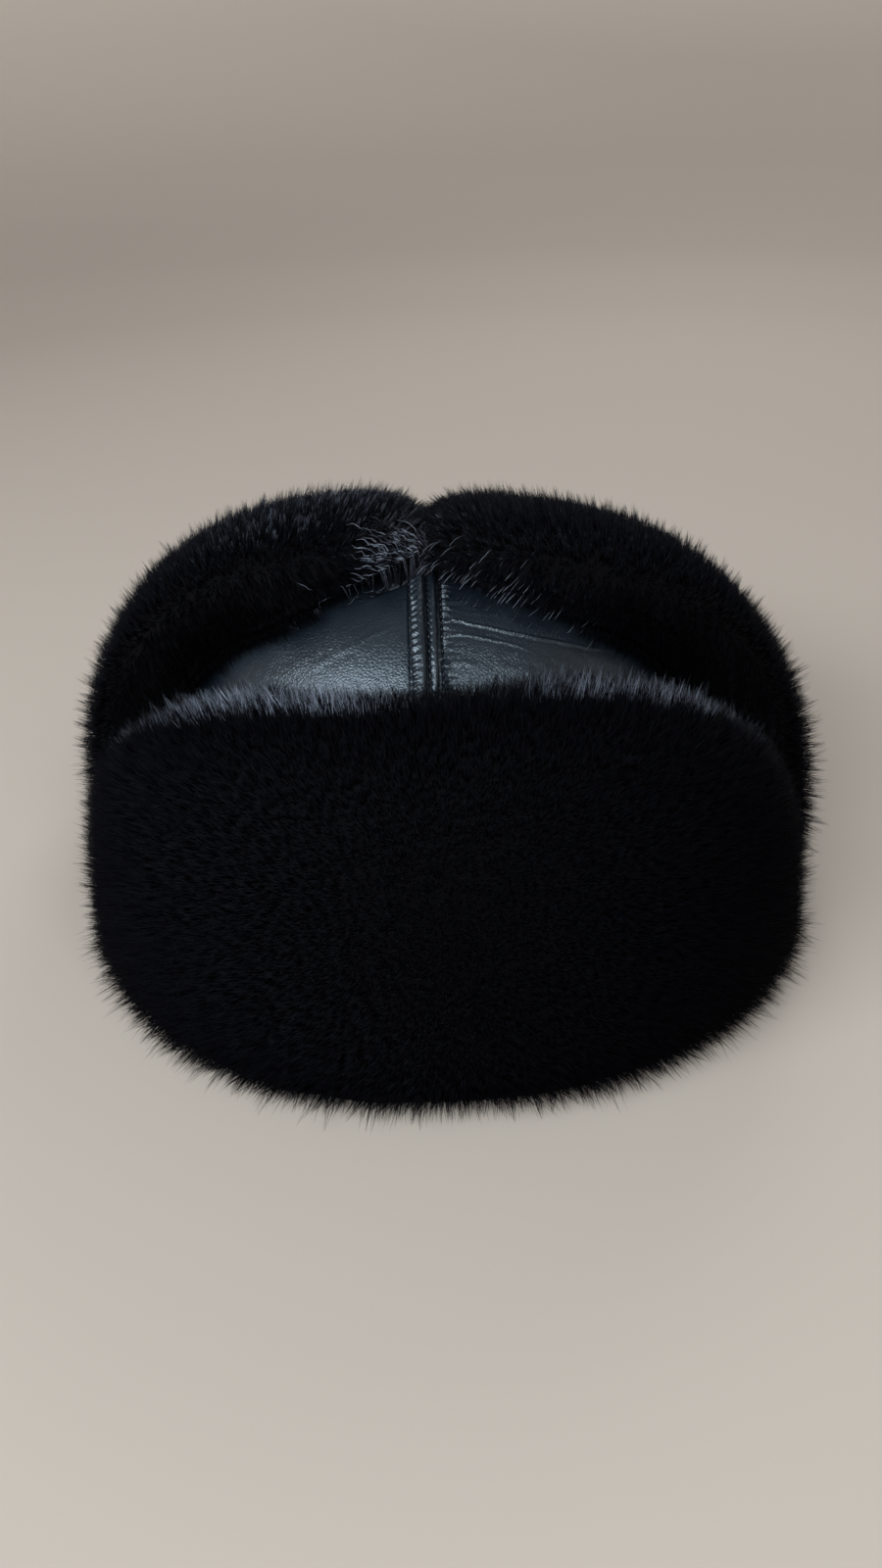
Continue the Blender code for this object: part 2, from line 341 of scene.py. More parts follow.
def on_high_crease(middles, normals, creases):
    """True on the faces along the high creases, which need to be the finest."""
    near = np.zeros(len(middles), bool)
    for line, height, _ in creases:
        gap, along = from_line(plan(middles), line)
        if height > HIGH_CREASE:
            near |= (gap < NEAR_HIGH_CREASE) & (along < HIGH_CREASE_END)
    return near & shows(middles, normals)


def surface_tree(*meshes):
    """A tree that finds the nearest place on some meshes, or where a ray meets them."""
    points, faces = [], []
    for mesh in meshes:
        faces += [[len(points) + i for i in face.vertices] for face in mesh.polygons]
        points += [vertex.co for vertex in mesh.vertices]
    return BVHTree.FromPolygons(points, faces)


crown_shape = surface_tree(
    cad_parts["crown_panel_left"].data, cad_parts["crown_panel_right"].data
)


# The seam's line, and how far along it each angle up from the front is, so that stitches
# are spaced evenly. It runs just beside the gap between the panels, and is smoothed.
BESIDE_THE_GAP = Vector((0.0009, 0.0, 0.0))


def seam_top(angle):
    """The point on the leather beside the seam, at an angle up from the front."""
    away = Vector((0.0, -math.cos(angle), math.sin(angle)))
    start = RIM_MIDDLE + BESIDE_THE_GAP + away * BEYOND_THE_HAT
    return crown_shape.ray_cast(start, -away)[0]


seam_angles = np.radians(np.arange(20.0, 161.0, 1.0))
seam_line = np.array([seam_top(angle) for angle in seam_angles])
for _ in range(12):
    seam_line[1:-1] = (seam_line[:-2] + 2 * seam_line[1:-1] + seam_line[2:]) / 4
seam_steps = np.linalg.norm(np.diff(seam_line, axis=0), axis=1)
seam_reach = np.concatenate([[0.0], np.cumsum(seam_steps)])


def along_seam(places):
    """How far along the seam points are, in metres from its front end."""
    offsets = places - np.array(RIM_MIDDLE)
    return np.interp(np.arctan2(offsets[:, 2], -offsets[:, 1]), seam_angles, seam_reach)


def uneven(values, seed):
    """A smooth wander between -1 and 1 along a line, the same each time."""
    draw = np.random.default_rng(seed)
    waves = (0.0061, 0.0103, 0.0191, 0.031)
    return sum(
        np.sin(values * 2 * np.pi / wave + draw.uniform(0, 6.28)) for wave in waves
    ) / len(waves)


def right_seam_relief(across, along):
    """The right panel's edge: a groove, and beside it puckers that fade out one by one."""
    wander = uneven(along, 5)
    phase = (along + PUCKER_STRAY * wander) / STITCH_PITCH
    off = (phase - np.floor(phase) - 0.5) * STITCH_PITCH
    end = TAIL_END + TAIL_UNEVEN * uneven(np.floor(phase) * TAIL_DRIFT, 8)
    head = band(across, *HEADS) * np.cos(np.pi * off / STITCH_PITCH) ** 2
    tail = band(across, *TAILS, end) * np.exp(-((off / TAIL_WIDTH) ** 2))
    return HEAD_HEIGHT * head + TAIL_HEIGHT * tail - GROOVE_DEPTH * band(across, *GROOVE)


def leather_relief(places, side, creases):
    """How far the leather stands out at each point: slow waves, creases, and the seam."""
    relief = np.array(
        [WAVE_HEIGHT * noise.fractal(Vector(p) * WAVE_TURNS, 1.0, 2.0, 3) for p in places]
    )
    for line, height, width in creases:
        gap, along = from_line(plan(places), line)
        ridge = np.exp(-((gap / width) ** 2))
        ridge -= VALLEY_DEPTH * np.exp(-(((gap - VALLEY_OFFSET * width) / width) ** 2))
        relief += height * 0.001 * ridge * band(along, *CREASE_FADE)
    across = places[:, 0] - SEAM
    if side > 0:
        return relief + right_seam_relief(across, along_seam(places))
    return relief - CREVICE_DEPTH * (1 - ramp(np.abs(across - CREVICE), *CREVICE_SIDES))


def grain_group():
    """Fine pores and creases of soft leather, as a height and a mask, with their size."""
    group = bpy.data.node_groups.new("leather grain", "ShaderNodeTree")
    size = group.interface.new_socket("Scale", in_out="INPUT", socket_type="NodeSocketFloat")
    size.default_value = 1.0
    for output in ("Height", "Wear"):
        group.interface.new_socket(output, in_out="OUTPUT", socket_type="NodeSocketFloat")
    nodes, links = group.nodes, group.links
    given, result = nodes.new("NodeGroupInput"), nodes.new("NodeGroupOutput")
    place = nodes.new("ShaderNodeTexCoord")
    sized = nodes.new("ShaderNodeVectorMath")
    sized.operation = "SCALE"
    links.new(place.outputs["Object"], sized.inputs[0])
    links.new(given.outputs["Scale"], sized.inputs["Scale"])
    pores = nodes.new("ShaderNodeTexVoronoi")
    pores.feature = "DISTANCE_TO_EDGE"
    pores.inputs["Scale"].default_value = 1000.0
    shape = nodes.new("ShaderNodeMapRange")
    shape.inputs["From Max"].default_value = 0.28
    links.new(sized.outputs[0], pores.inputs["Vector"])
    links.new(pores.outputs["Distance"], shape.inputs["Value"])
    folds = nodes.new("ShaderNodeTexNoise")
    folds.inputs["Scale"].default_value = 420.0
    folds.inputs["Detail"].default_value = 5.0
    links.new(sized.outputs[0], folds.inputs["Vector"])
    mix = nodes.new("ShaderNodeMath")
    mix.operation = "MULTIPLY_ADD"
    mix.inputs[1].default_value = 0.35
    links.new(shape.outputs["Result"], mix.inputs[0])
    links.new(folds.outputs["Fac"], mix.inputs[2])
    links.new(mix.outputs[0], result.inputs["Height"])
    wear = nodes.new("ShaderNodeTexNoise")
    wear.inputs["Scale"].default_value = 45.0
    wear.inputs["Detail"].default_value = 3.0
    links.new(sized.outputs[0], wear.inputs["Vector"])
    links.new(wear.outputs["Fac"], result.inputs["Wear"])
    return group


leather_grain = grain_group()


def make_leather(name, dark, light, smooth, rough, bump):
    """Black leather: grain, a colour that wanders a little, and a satin face."""
    material = bpy.data.materials.new(name)
    material.use_nodes = True
    nodes, links = material.node_tree.nodes, material.node_tree.links
    shader = nodes["Principled BSDF"]
    grain = nodes.new("ShaderNodeGroup")
    grain.node_tree = leather_grain
    tint = nodes.new("ShaderNodeValToRGB")
    for stop, position, color in zip(tint.color_ramp.elements, (0.35, 0.7), (dark, light)):
        stop.position, stop.color = position, (*color, 1.0)
    links.new(grain.outputs["Wear"], tint.inputs["Fac"])
    links.new(tint.outputs["Color"], shader.inputs["Base Color"])
    satin = nodes.new("ShaderNodeMapRange")
    satin.inputs["From Min"].default_value = 0.3
    satin.inputs["From Max"].default_value = 0.75
    satin.inputs["To Min"].default_value = smooth
    satin.inputs["To Max"].default_value = rough
    links.new(grain.outputs["Wear"], satin.inputs["Value"])
    links.new(satin.outputs["Result"], shader.inputs["Roughness"])
    relief = nodes.new("ShaderNodeBump")
    relief.inputs["Strength"].default_value = bump
    relief.inputs["Distance"].default_value = 0.0003
    links.new(grain.outputs["Height"], relief.inputs["Height"])
    links.new(relief.outputs["Normal"], shader.inputs["Normal"])
    shader.inputs["Specular IOR Level"].default_value = 0.62
    shader.inputs["Specular Tint"].default_value = (0.74, 0.88, 1.0, 1.0)
    return material


crown_leather = make_leather(
    "crown leather",
    dark=(0.003, 0.005, 0.008),
    light=(0.007, 0.010, 0.014),
    smooth=0.27,
    rough=0.37,
    bump=0.52,
)

for node, side in (("crown_panel_left", -1), ("crown_panel_right", 1)):
    creases = CREASES[node]
    panel = merged_copy(node, node + "_leather")
    bpy.ops.object.mode_set(mode="EDIT")
    bpy.ops.mesh.select_mode(type="EDGE")
    bpy.ops.mesh.select_all(action="DESELECT")
    bpy.ops.mesh.edges_select_sharp(sharpness=math.radians(45))
    bpy.ops.transform.edge_crease(value=1.0)
    bpy.ops.object.mode_set(mode="OBJECT")
    smooth = panel.modifiers.new("smooth", "SUBSURF")
    smooth.levels = smooth.render_levels = 2
    bpy.ops.object.modifier_apply(modifier="smooth")
    divide_faces(panel, shows, 1)
    divide_faces(panel, lambda *faces: has_detail(*faces, creases, side), 3)
    if side > 0:
        divide_faces(panel, lambda *faces: on_high_crease(*faces, creases), 1)
    places, normals = corners(panel.data), corner_normals(panel.data)
    relief = leather_relief(places, side, creases) * shows(places, normals)
    put_corners(panel.data, places + normals * relief[:, None])
    panel.data.materials.append(crown_leather)
    bpy.ops.object.shade_smooth_by_angle(angle=math.radians(50))
    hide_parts(node)
    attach(panel, "root")


# The seam's folds: each panel's edge is rolled into a raised fold, a wide one on the left
# and a narrow one on the right, and gathered by its stitches, so it is ribbed like a cord.
# Each fold is a cylinder that is divided in length and laid along the seam's line.
FOLD_ENDS = np.radians([44.0, 136.0])
FOLD_SIDES, FOLD_CUTS = 16, 23
HALF_STEP = 0.002


def seam_point(reach):
    """The points of the seam's line at distances along it."""
    return np.stack([np.interp(reach, seam_reach, seam_line[:, i]) for i in range(3)], axis=1)


def seam_place(reach, across, height):
    """Points at distances along the seam, across it and above the leather."""
    run = seam_point(reach + HALF_STEP) - seam_point(reach - HALF_STEP)
    up = np.stack([np.zeros(len(run)), -run[:, 2], run[:, 1]], axis=1)
    up /= np.linalg.norm(up, axis=1, keepdims=True)
    places = seam_point(reach) + up * height[:, None]
    places[:, 0] = SEAM + across
    return places


def divide_length(fold, cuts):
    """Cuts an upright cylinder across, all the way up."""
    select_nothing("EDGE")
    for edge in fold.data.edges:
        low, high = (fold.data.vertices[i].co.z for i in edge.vertices)
        edge.select = abs(low - high) > 1e-6
    bpy.ops.object.mode_set(mode="EDIT")
    bpy.ops.mesh.subdivide(number_cuts=cuts)
    bpy.ops.object.mode_set(mode="OBJECT")


def make_fold(node, middle, half_width, height, pucker, smooth_from, slant, seed):
    """A rolled fold of leather with slanting puckers on its stitched side.

    level runs across the fold, from -1 on the stitched side to 1 on the smooth one.
    """
    bpy.ops.object.select_all(action="DESELECT")
    bpy.ops.mesh.primitive_cylinder_add(
        vertices=FOLD_SIDES, radius=1.0, depth=1.0, end_fill_type="NGON"
    )
    fold = bpy.context.active_object
    fold.name = fold.data.name = node + "_leather"
    divide_length(fold, FOLD_CUTS)
    divide_length(fold, FOLD_CUTS)
    rings = corners(fold.data)
    first, last = np.interp(FOLD_ENDS, seam_angles, seam_reach)
    reach = first + (rings[:, 2] + 0.5) * (last - first)
    wander = uneven(reach, seed)
    level = rings[:, 0] * (1 + 0.05 * uneven(reach, seed + 1))
    phase = (reach + slant * level + 0.0005 * wander) / STITCH_PITCH
    rib = np.abs(np.sin(np.pi * phase)) ** 0.75
    strength = pucker * (1 - ramp(level, smooth_from - 0.7, smooth_from)) * (1 + 0.35 * wander)
    top = np.where(rings[:, 1] > 0, rings[:, 1] ** 0.8, 0.25 * rings[:, 1])
    rise = 0.0001 + height * top - strength * (1 - rib) * (rings[:, 1] > -0.1)
    across = middle + half_width * level - 0.00025 * rib * (level < -0.6)
    put_corners(fold.data, seam_place(reach, across, rise))
    only(fold)
    bpy.ops.object.mode_set(mode="EDIT")
    bpy.ops.mesh.select_all(action="SELECT")
    bpy.ops.mesh.normals_make_consistent(inside=False)
    bpy.ops.object.mode_set(mode="OBJECT")
    bpy.ops.object.shade_smooth_by_angle(angle=math.radians(60))
    fold.data.materials.append(crown_leather)
    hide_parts(node)
    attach(fold, "root")


make_fold(
    "seam_welt_left", middle=-0.0026, half_width=0.0021, height=0.0019,
    pucker=0.0008, smooth_from=0.35, slant=-0.0011, seed=41,
)
make_fold(
    "seam_welt_right", middle=0.0016, half_width=0.0011, height=0.0014,
    pucker=0.0003, smooth_from=0.1, slant=-0.0003, seed=51,
)


# The stitches: black thread that shows as a short slanting stroke between two puckers,
# along the outer side of each fold and along the edge of the right panel. A row is how far
# across from the seam it lies, how high over the leather, and which way it slants.
STITCH_ROWS = ((-0.0048, 0.0001, 0.35), (0.0002, 0.0002, -0.2), (0.0039, 0.0001, 0.25))
STITCH_SLANT = 0.0006
STITCH_ENDS = np.radians([46.0, 134.0])
STITCH_HALF_WIDTH, STITCH_HALF_LENGTH, STITCH_HALF_HEIGHT = 0.0002, 0.00062, 0.00022

bpy.ops.object.select_all(action="DESELECT")
bpy.ops.mesh.primitive_uv_sphere_add(segments=6, ring_count=5, radius=1.0)
stitch = bpy.context.active_object
stitch.name = stitch.data.name = "seam_stitches"
bead = corners(stitch.data)
bead_faces = [tuple(face.vertices) for face in stitch.data.polygons]
first, last = np.interp(STITCH_ENDS, seam_angles, seam_reach)
copies = []
for across, height, slant in STITCH_ROWS:
    for reach in np.arange(round(first / STITCH_PITCH), last / STITCH_PITCH) * STITCH_PITCH:
        along = reach + bead[:, 1] * STITCH_HALF_LENGTH
        beside = across + bead[:, 0] * STITCH_HALF_WIDTH + slant * bead[:, 1] * STITCH_SLANT
        over = height + bead[:, 2] * STITCH_HALF_HEIGHT
        copies.append(seam_place(along, beside, over))
stitch_faces = [
    [len(bead) * i + corner for corner in face] for i in range(len(copies)) for face in bead_faces
]
thread_mesh = bpy.data.meshes.new("seam_stitches")
thread_mesh.from_pydata(np.concatenate(copies).tolist(), [], stitch_faces)
thread_mesh.shade_smooth()
first_bead = stitch.data
stitch.data = thread_mesh
bpy.data.meshes.remove(first_bead)
thread = bpy.data.materials.new("black waxed thread")
thread.use_nodes = True
shader = thread.node_tree.nodes["Principled BSDF"]
shader.inputs["Base Color"].default_value = (0.010, 0.011, 0.014, 1.0)
shader.inputs["Roughness"].default_value = 0.35
place = thread.node_tree.nodes.new("ShaderNodeTexCoord")
twist = thread.node_tree.nodes.new("ShaderNodeTexWave")
twist.inputs["Scale"].default_value = 900.0
twist.bands_direction = "DIAGONAL"
plies = thread.node_tree.nodes.new("ShaderNodeBump")
plies.inputs["Strength"].default_value = 0.5
plies.inputs["Distance"].default_value = 0.0001
thread.node_tree.links.new(place.outputs["Object"], twist.inputs["Vector"])
thread.node_tree.links.new(twist.outputs["Fac"], plies.inputs["Height"])
thread.node_tree.links.new(plies.outputs["Normal"], shader.inputs["Normal"])
thread_mesh.materials.append(thread)
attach(stitch, "root")


# The visor: a mink pelt on a padded backing, sewn to the rim and turned up in front. The
# pile is short, dense and black, and a painted highlight greys its tips along the top edge.
#
# First, in metres, how deep the underfur lies below the tips of the fur, and how thick a
# panel's edge is that stays as it is. Then the hair: its length, its width, how deep its
# root is, and how far it keeps off the leather and its tips and roots off the floor.
PILE, THIN_EDGE = 0.0024, 0.0012
HAIR_LENGTH, HAIR_WIDTH, ROOT_DEPTH = 0.0069, 0.00026, 0.0005
OVER_LEATHER = 0.0006
TIPS_OVER_FLOOR, ROOTS_OVER_FLOOR = 0.0005, 0.0003

# One hair in so many is a guard hair, and longer than the others by a random factor.
GUARD_SHARE, GUARD_LENGTHS = 4, (1.2, 1.6)

# Hairs are drawn together in tufts: how many hairs share a leader, how hard they are drawn
# to it, and how near it that pull is full and how far from it the pull ends.
GUARD_TUFTS = (22, 0.9, 0.0018, 0.0036)
SHORT_TUFTS = (6, 0.65, 0.0010, 0.0028)


def fur_material(name, root, middle, tip, roughness, shine):
    """Black fur: nearly no colour at the roots, and a cold grey painted highlight on the palest
    tips.
    """
    material = bpy.data.materials.new(name)
    material.use_nodes = True
    nodes, links = material.node_tree.nodes, material.node_tree.links
    shader = nodes["Principled BSDF"]
    along = nodes.new("ShaderNodeAttribute")
    along.attribute_name = "tip"
    tint = nodes.new("ShaderNodeValToRGB")
    tint.color_ramp.elements[0].position, tint.color_ramp.elements[0].color = 0.1, (*root, 1.0)
    # The ramp's last colour, for the palest tips, is a painted highlight.
    tint.color_ramp.elements[1].position, tint.color_ramp.elements[1].color = 1.0, (*tip, 1.0)
    tint.color_ramp.elements.new(0.45).color = (*middle, 1.0)
    links.new(along.outputs["Fac"], tint.inputs["Fac"])
    links.new(tint.outputs["Color"], shader.inputs["Base Color"])
    shader.inputs["Roughness"].default_value = roughness
    shader.inputs["Specular IOR Level"].default_value = shine
    return material


def pelt_material(name, color):
    """The dense underfur between the hairs: black, dull and finely streaked."""
    material = bpy.data.materials.new(name)
    material.use_nodes = True
    nodes, links = material.node_tree.nodes, material.node_tree.links
    shader = nodes["Principled BSDF"]
    shader.inputs["Base Color"].default_value = (*color, 1.0)
    shader.inputs["Roughness"].default_value = 0.85
    shader.inputs["Specular IOR Level"].default_value = 0.05
    place = nodes.new("ShaderNodeTexCoord")
    down = nodes.new("ShaderNodeTexNoise")
    down.inputs["Scale"].default_value = 900.0
    down.inputs["Detail"].default_value = 3.0
    relief = nodes.new("ShaderNodeBump")
    relief.inputs["Strength"].default_value = 0.6
    relief.inputs["Distance"].default_value = 0.0006
    links.new(place.outputs["Object"], down.inputs["Vector"])
    links.new(down.outputs["Fac"], relief.inputs["Height"])
    links.new(relief.outputs["Normal"], shader.inputs["Normal"])
    return material


# The cold grey last colour of this hair is a painted highlight, given to tips painted as lit.
mink = fur_material(
    "black mink hair",
    root=(0.0002, 0.0002, 0.0004),
    middle=(0.0017, 0.0019, 0.0040),
    tip=(0.34, 0.39, 0.49),
    roughness=0.5,
    shine=0.035,
)
underfur = pelt_material("black mink underfur", (0.0008, 0.0008, 0.0014))


def make_pelt(node, name):
    """A panel's padded backing with its underfur: smooth, and below the tips of the hair."""
    pelt = merged_copy(node, name)
    rings = corners(pelt.data)
    outside = facing_out(rings, corner_normals(pelt.data)) > 0.15
    select_nothing("VERT")
    pelt.data.vertices.foreach_set("select", outside & (rings[:, 2] > 0.0005))
    bpy.ops.object.mode_set(mode="EDIT")
    bpy.ops.mesh.vertices_smooth(factor=0.5, repeat=6)
    bpy.ops.object.mode_set(mode="OBJECT")
    round_off = pelt.modifiers.new("round", "SUBSURF")
    round_off.levels = round_off.render_levels = 1
    bpy.ops.object.modifier_apply(modifier="round")
    places, normals = corners(pelt.data), corner_normals(pelt.data)
    depth = np.array([crown_shape.find_nearest(Vector(p))[3] for p in places])
    sunk = np.minimum(PILE, 0.4 * np.maximum(depth - THIN_EDGE, 0.0))
    sunk *= ramp(facing_out(places, normals), -0.1, 0.5)
    places -= normals * sunk[:, None]
    places[:, 2] = np.maximum(places[:, 2], 0.0)
    put_corners(pelt.data, places)
    pelt.data.materials.append(underfur)
    bpy.ops.object.shade_smooth()
    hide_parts(node)
    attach(pelt, "root")
    return pelt


def above_leather(point):
    """A point, or the place just over the leather if it lies inside the crown."""
    away = (point - RIM_MIDDLE).normalized()
    hit = crown_shape.ray_cast(RIM_MIDDLE + away * BEYOND_THE_HAT, -away)[0]
    if hit is not None and (point - hit).dot(away) < OVER_LEATHER:
        point = hit + away * OVER_LEATHER
    return point


def scatter_roots(mesh, count, draw, where):
    """Random places on a pelt's open side, and the way that the skin faces at each.

    None are on the side that lies against the leather, nor on the underside.
    """
    mesh.calc_loop_triangles()
    triangles = np.empty(len(mesh.loop_triangles) * 3, np.int32)
    mesh.loop_triangles.foreach_get("vertices", triangles)
    triangles = triangles.reshape(-1, 3)
    places, normals = corners(mesh), corner_normals(mesh)
    a, b, c = (places[triangles[:, i]] for i in range(3))
    facing = np.cross(b - a, c - a)
    areas = np.linalg.norm(facing, axis=1) / 2
    facing /= np.maximum(areas[:, None] * 2, 1e-12)
    middle = (a + b + c) / 3
    on_floor = (facing[:, 2] < -0.6) & (middle[:, 2] < 0.004)
    chance = np.where((facing_out(middle, facing) < -0.45) | on_floor, 0.0, areas)
    if where:
        chance *= where(middle, facing)
    chosen = draw.choice(len(triangles), size=count, p=chance / chance.sum())
    u, v = draw.random(count), draw.random(count)
    u, v = np.where(u + v > 1, 1 - u, u), np.where(u + v > 1, 1 - v, v)
    shares = np.stack([1 - u - v, u, v], axis=1)
    roots = (places[triangles[chosen]] * shares[:, :, None]).sum(1)
    up = (normals[triangles[chosen]] * shares[:, :, None]).sum(1)
    up /= np.linalg.norm(up, axis=1, keepdims=True)
    return roots, up


def gather_tufts(roots, tips, guard):
    """Draws the tips of hairs towards their leaders' tips, and gives each hair's leader."""
    count, guards = len(roots), guard.sum()
    leader, pull = np.zeros(count, int), np.zeros(count)
    for members, start, (share, strength, near, far) in (
        (guard, 0, GUARD_TUFTS),
        (~guard, guards, SHORT_TUFTS),
    ):
        tufts = KDTree(count // share)
        for i in range(start, start + count // share):
            tufts.insert(roots[i], i)
        tufts.balance()
        found = [tufts.find(root) for root in roots[members]]
        leader[members] = [i for _, i, _ in found]
        pull[members] = strength * (1 - ramp(np.array([gap for _, _, gap in found]), near, far))
    tips += (tips[leader] - tips) * pull[:, None]
    return leader


def grow_fur(name, pelt, count, seed, flow, painted_highlight_share, flat=None, where=None, length=HAIR_LENGTH):
    """Hair on a pelt: tapered spikes in small tufts, which lie the way that flow gives.

    The first quarter are guard hairs, longer and parted into separate points. The painted
    highlight share says how far a painted highlight greys the tips, flat how far the hair lies
    down, and where, for a fringe, which part of the pelt it stands on. A fringe isn't combed
    along the skin.
    """
    draw = np.random.default_rng(seed)
    roots, up = scatter_roots(pelt.data, count, draw, where)
    lay = flow(roots, up)
    if not where:
        lay -= (lay * up).sum(1, keepdims=True) * up
    lay /= np.maximum(np.linalg.norm(lay, axis=1, keepdims=True), 1e-6)

    # Hair that lies flat stands up less and leans more.
    down = flat(roots, up)[:, None] if flat else np.zeros((count, 1))
    aim = (0.85 - 0.6 * down) * up + (0.42 + 0.5 * down) * lay
    aim += 0.15 * draw.standard_normal((count, 3))
    aim /= np.linalg.norm(aim, axis=1, keepdims=True)

    # Hair is shorter near the leather, and longer at the hat's sides, most on the right.
    depth = np.array([crown_shape.find_nearest(Vector(root))[3] for root in roots])
    reach = length * draw.uniform(0.7, 1.0, count)
    reach *= 1.0 if where else 0.6 + 0.4 * ramp(depth, 0.003, 0.010)
    fuller = 0.26 + 0.12 * np.sign(roots[:, 0])
    reach *= 1 + fuller * ramp(np.abs(roots[:, 0]), 0.1, 0.125)
    guard = np.arange(count) < count // GUARD_SHARE
    reach[guard] *= draw.uniform(*GUARD_LENGTHS, guard.sum())
    tips = roots + aim * reach[:, None]
    leader = gather_tufts(roots, tips, guard)
    tips[:, 2] = np.maximum(tips[:, 2], TIPS_OVER_FLOOR)
    if where:
        tips = np.array([above_leather(Vector(tip)) for tip in tips])

    # Each hair is a spike with three corners round its root and one at its tip.
    aim = tips - roots
    aim /= np.maximum(np.linalg.norm(aim, axis=1, keepdims=True), 1e-9)
    side = np.cross(aim, draw.standard_normal((count, 3)))
    side /= np.linalg.norm(side, axis=1, keepdims=True)
    other = np.cross(aim, side)
    thick = HAIR_WIDTH * draw.uniform(0.75, 1.2, count)
    spikes = np.empty((count, 4, 3))
    for i in range(3):
        turn = 2 * np.pi * i / 3
        ring = math.cos(turn) * side + math.sin(turn) * other
        spikes[:, i] = roots - aim * ROOT_DEPTH + ring * thick[:, None] / 2
    spikes[:, 3] = tips
    spikes[:, :, 2] = np.maximum(spikes[:, :, 2], ROOTS_OVER_FLOOR)
    faces = np.array([[0, 1, 3], [1, 2, 3], [2, 0, 3], [2, 1, 0]])
    faces = (faces[None] + 4 * np.arange(count)[:, None, None]).reshape(-1, 3)
    fur_mesh = bpy.data.meshes.new(name)
    fur_mesh.from_pydata(spikes.reshape(-1, 3).tolist(), [], faces.tolist())

    # The painted highlight greys the hairs of a tuft much alike, and only the palest stand out;
    # the hairs with the most of it are greyed along their whole length.
    shine = draw.uniform(0.0, 1.0, count)
    painted_highlight_amount = painted_highlight_share(roots, up) * (0.35 * shine + 0.65 * shine[leader]) ** 1.4
    tone = np.zeros((count, 4), np.float32)
    tone[:, 3] = draw.uniform(0.3, 0.5, count) * (0.8 if where else 1.0) + 0.55 * painted_highlight_amount
    tone[:, :3] = 0.5 * painted_highlight_amount[:, None]
    fur_mesh.attributes.new("tip", "FLOAT", "POINT").data.foreach_set("value", tone.ravel())
    fur_mesh.materials.append(mink)
    fur_mesh.shade_smooth()
    fur = bpy.data.objects.new(name, fur_mesh)
    bpy.context.scene.collection.objects.link(fur)
    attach(fur, "root")


def away_from(point, stretch=(1.0, 1.0, 1.0)):
    """A flow that leads away from a point."""
    return lambda roots, up: (roots - np.array(point)) * np.array(stretch)


def one_way(direction):
    """A flow that leads the same way everywhere."""
    return lambda roots, up: np.tile(direction, (len(roots), 1))


def alike(share):
    """A share that is the same for every hair."""
    return lambda roots, up: np.full(len(roots), share)


def visor_top_highlight(roots, up):
    """Painted highlight where the visor's pile stands up along its top edge and corners: palest
    on the left.
    """
    across = roots[:, 0]
    sides = 0.35 + 0.9 * ramp(-across, 0.005, 0.03) + 0.7 * ramp(across, 0.008, 0.035)
    sides *= 1 - 0.55 * ramp(np.abs(across), 0.065, 0.09)
    corner = 0.25 * ramp(np.abs(up[:, 0]), 0.5, 0.85) * ramp(roots[:, 2], 0.06, 0.1)
    back = ramp(up[:, 2], 0.45, 0.75) * ramp(up[:, 1], -0.4, 0.05)
    return np.maximum(back * sides, corner)


def behind_top(roots, up):
    """The rear of the visor's top edge, where its longest hair stands against the leather."""
    back = ramp(up[:, 2], 0.3, 0.6) * ramp(up[:, 1], -0.3, 0.1)
    return back * (1 - ramp(np.abs(roots[:, 0]), 0.07, 0.1))


def lower_rim(roots, up):
    """The visor's lower edge, where its pile splays out over the ground."""
    under = ramp(-up[:, 2], -0.5, 0.0) * ramp(-up[:, 1], -0.1, 0.2)
    return (1 - ramp(roots[:, 2], 0.004, 0.014)) * under


visor_pelt = make_pelt("visor", "visor_pelt")
visor_flow = away_from((0.0, -0.14, 0.0), (0.6, 1.0, 1.0))
for number, seed in ((1, 11), (2, 12)):
    grow_fur(f"visor_fur_{number}", visor_pelt, 40000, seed, visor_flow, visor_top_highlight)
grow_fur(
    "visor_fringe",
    visor_pelt,
    2400,
    13,
    one_way((0.0, 0.2, 1.0)),
    visor_top_highlight,
    flat=alike(0.8),
    where=behind_top,
    length=0.0058,
)
grow_fur(
    "visor_rim_fringe",
    visor_pelt,
    2500,
    14,
    away_from((0.0, 0.03, 0.0), (1.0, 1.0, 0.0)),
    alike(0.0),
    flat=alike(0.9),
    where=lower_rim,
    length=0.0092,
)


# The ear flaps: the same pelt, folded up over the sides and the top until their ends meet
# over the seam. The pile runs along each flap to its end, and turns down over the leather
# along the front edge. On the left flap's end it is combed across, in wavy strands greyed
# by a painted sheen.
COMBED = (1.0, -0.12, -0.1)

# A strand: its rings, where the three corners of each are round its middle, in radians, and
# how far its start strays, in metres.
STRAND_RINGS, RING_CORNERS = 7, (0.5, 2.6, 4.7)
START_STRAY = 0.0035


def turned_down(roots, up):
    """Where a flap's pile turns down over the leather: a band along its front edge."""
    return ramp(-up[:, 1], 0.45, 0.75) * ramp(roots[:, 2], 0.075, 0.09)


def left_flap_highlight(roots, up):
    """Painted highlight on the left flap's pile: over its end, in front, and along its top."""
    end = 0.62 * ramp(roots[:, 0], -0.048, -0.014) * (1 - ramp(roots[:, 1], -0.035, 0.0))
    end *= 1 - 0.85 * ramp(up[:, 0], 0.35, 0.7) * (1 - ramp(up[:, 2], 0.2, 0.6))
    top = 0.26 + 0.22 * ramp(roots[:, 0], -0.085, -0.04)
    return np.maximum(end, top * ramp(up[:, 2], 0.5, 0.9) * ramp(up[:, 1], -0.5, -0.12))


